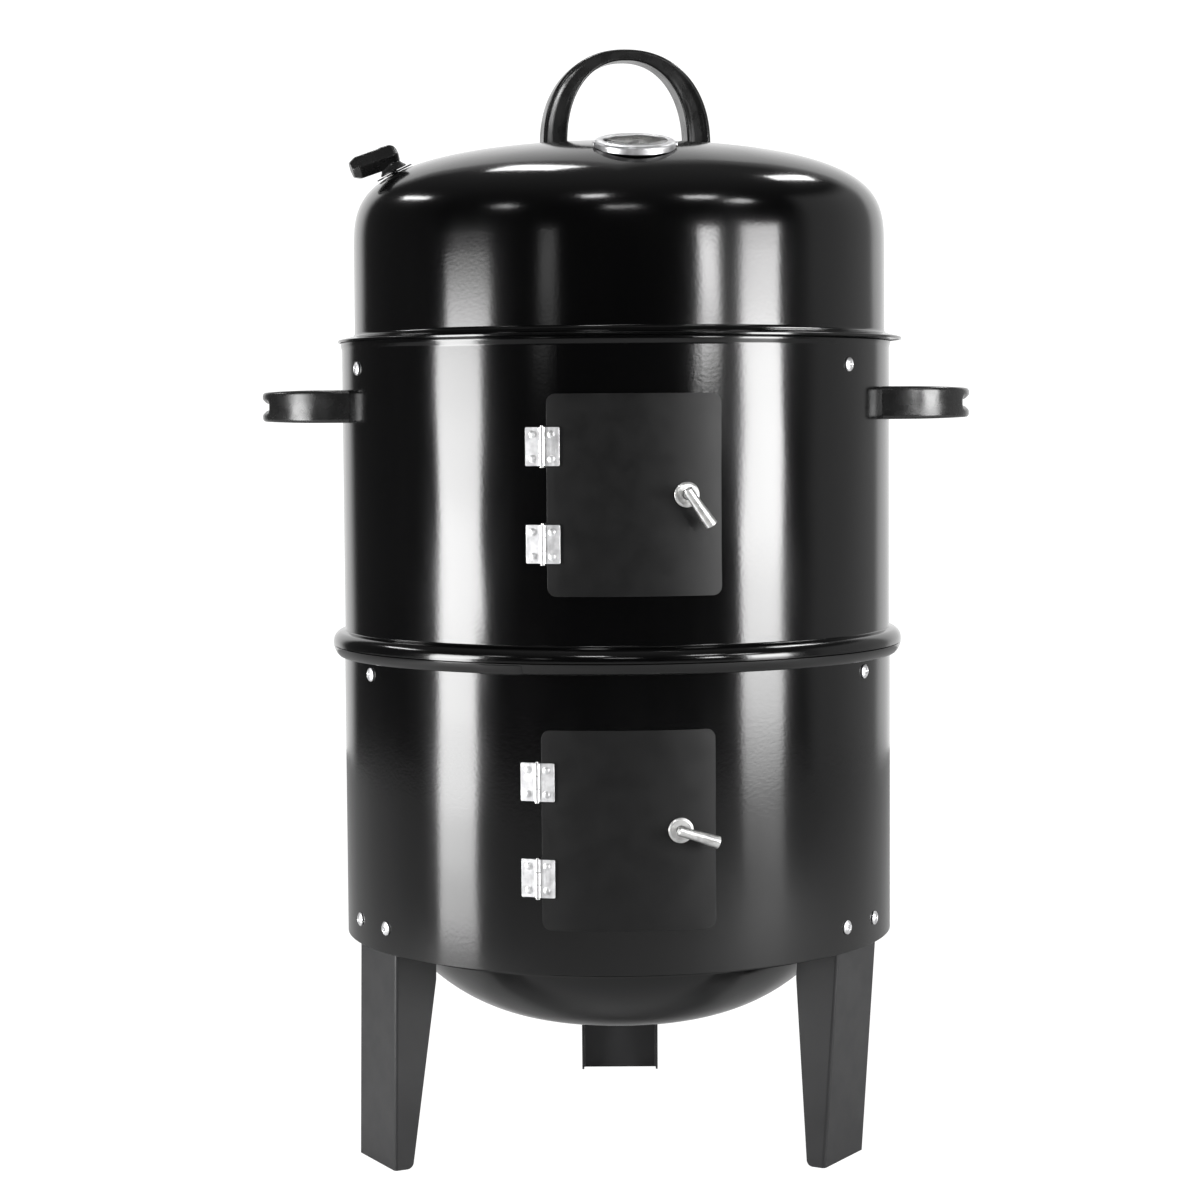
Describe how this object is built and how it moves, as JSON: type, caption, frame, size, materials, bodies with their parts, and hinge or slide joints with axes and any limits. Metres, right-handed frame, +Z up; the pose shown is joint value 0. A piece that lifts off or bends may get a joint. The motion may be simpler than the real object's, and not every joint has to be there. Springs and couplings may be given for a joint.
{
  "type": "vertical water smoker",
  "caption": "Upright charcoal water smoker: stacked round barrels on channel legs, domed lid with thermometer and vent, hinged doors, grates, water pan and fire bowl inside",
  "frame": {"origin": "on the floor under the axis of the barrels", "axes": "+Z up, doors face -Y, +X to the right as seen from the front"},
  "size_m": [0.5074, 0.4127, 0.78],
  "materials": {
    "enamel": "gloss black enamel",
    "door_black": "matte black, heat resistant",
    "leg_black": "satin black",
    "moulded": "moulded black, satin",
    "zinc": "zinc plated",
    "steel": "satin steel",
    "chrome": "polished",
    "gauge_glass": "clear",
    "needle_black": "matte black"
  },
  "bodies": {
    "base": {"lower_barrel": "enamel", "stacking_hoop": "enamel", "leg_left": "leg_black", "leg_right": "leg_black", "leg_rear": "leg_black", "leg_left_bolt_a": "zinc", "leg_left_bolt_b": "zinc", "leg_right_bolt_a": "zinc", "leg_right_bolt_b": "zinc", "leg_rear_bolt_a": "zinc", "leg_rear_bolt_b": "zinc", "lower_bracket_left": "zinc", "lower_bracket_right": "zinc", "lower_bracket_rear": "zinc", "lower_bracket_left_bolt": "zinc", "lower_bracket_right_bolt": "zinc", "lower_bracket_rear_bolt": "zinc", "lower_hinge_top_barrel_leaf": "zinc", "lower_hinge_bottom_barrel_leaf": "zinc", "lower_hinge_top_pin": "steel", "lower_hinge_bottom_pin": "steel"},
    "fire_bowl": {"fire_bowl": "enamel"},
    "water_pan": {"water_pan": "enamel"},
    "lower_grate": {"lower_grate": "zinc"},
    "lower_door": {"lower_door": "door_black", "lower_latch_rosette": "steel", "lower_hinge_top_door_leaf": "zinc", "lower_hinge_bottom_door_leaf": "zinc"},
    "lower_latch": {"lower_latch_lever": "steel", "lower_latch_cam": "zinc"},
    "upper_section": {"upper_barrel": "enamel", "side_handle_left": "moulded", "side_handle_right": "moulded", "upper_bracket_left": "zinc", "upper_bracket_right": "zinc", "upper_bracket_rear": "zinc", "upper_bracket_left_bolt": "zinc", "upper_bracket_right_bolt": "zinc", "upper_bracket_rear_bolt": "zinc", "upper_hinge_top_barrel_leaf": "zinc", "upper_hinge_bottom_barrel_leaf": "zinc", "upper_hinge_top_pin": "steel", "upper_hinge_bottom_pin": "steel"},
    "upper_grate": {"upper_grate": "zinc"},
    "upper_door": {"upper_door": "door_black", "upper_latch_rosette": "steel", "upper_hinge_top_door_leaf": "zinc", "upper_hinge_bottom_door_leaf": "zinc"},
    "upper_latch": {"upper_latch_lever": "steel", "upper_latch_cam": "zinc"},
    "lid": {"lid_shell": "enamel", "lid_handle": "moulded", "lid_handle_screw_left": "zinc", "lid_handle_screw_right": "zinc", "gauge_case": "chrome", "gauge_glass": "gauge_glass", "gauge_stem": "steel"},
    "damper": {"damper_plate": "enamel", "damper_knob": "moulded"},
    "gauge_needle": {"gauge_needle": "needle_black"}
  },
  "joints": [
    {"name": "fire_bowl_lift", "type": "slide", "parent": "base", "child": "fire_bowl", "axis": [0, 0, 1], "range_m": [0, 0.05]},
    {"name": "water_pan_lift", "type": "slide", "parent": "base", "child": "water_pan", "axis": [0, 0, 1], "range_m": [0, 0.03]},
    {"name": "lower_grate_lift", "type": "slide", "parent": "base", "child": "lower_grate", "axis": [0, 0, 1], "range_m": [0, 0.15]},
    {"name": "lower_door_swing", "type": "hinge", "parent": "base", "child": "lower_door", "pos_m": [-0.05348, -0.19178, 0.247], "axis": [0, 0, -1], "range_deg": [0, 140]},
    {"name": "lower_latch_turn", "type": "hinge", "parent": "lower_door", "child": "lower_latch", "pos_m": [0.04109, -0.19389, 0.247], "axis": [0.2073, -0.9783, 0], "range_deg": [0, 108]},
    {"name": "upper_section_lift", "type": "slide", "parent": "base", "child": "upper_section", "axis": [0, 0, 1], "range_m": [0, 0.25]},
    {"name": "upper_grate_lift", "type": "slide", "parent": "upper_section", "child": "upper_grate", "axis": [0, 0, 1], "range_m": [0, 0.004]},
    {"name": "upper_door_swing", "type": "hinge", "parent": "upper_section", "child": "upper_door", "pos_m": [-0.04847, -0.19259, 0.468], "axis": [0, 0, -1], "range_deg": [0, 140]},
    {"name": "upper_latch_turn", "type": "hinge", "parent": "upper_door", "child": "upper_latch", "pos_m": [0.04613, -0.19224, 0.468], "axis": [0.2333, -0.9724, 0], "range_deg": [0, 145]},
    {"name": "lid_lift", "type": "slide", "parent": "upper_section", "child": "lid", "axis": [0, 0, 1], "range_m": [0, 0.25]},
    {"name": "damper_turn", "type": "hinge", "parent": "lid", "child": "damper", "pos_m": [-0.15436, -0.03923, 0.6912], "axis": [-0.4372, -0.109, 0.8927], "range_deg": [-60, 60]},
    {"name": "gauge_needle_turn", "type": "hinge", "parent": "lid", "child": "gauge_needle", "pos_m": [0.01415, -0.13855, 0.69945], "axis": [-0.0217, 0.2693, -0.9628], "range_deg": [0, 270], "stiffness_Nm_per_rad": 0.0002}
  ]
}
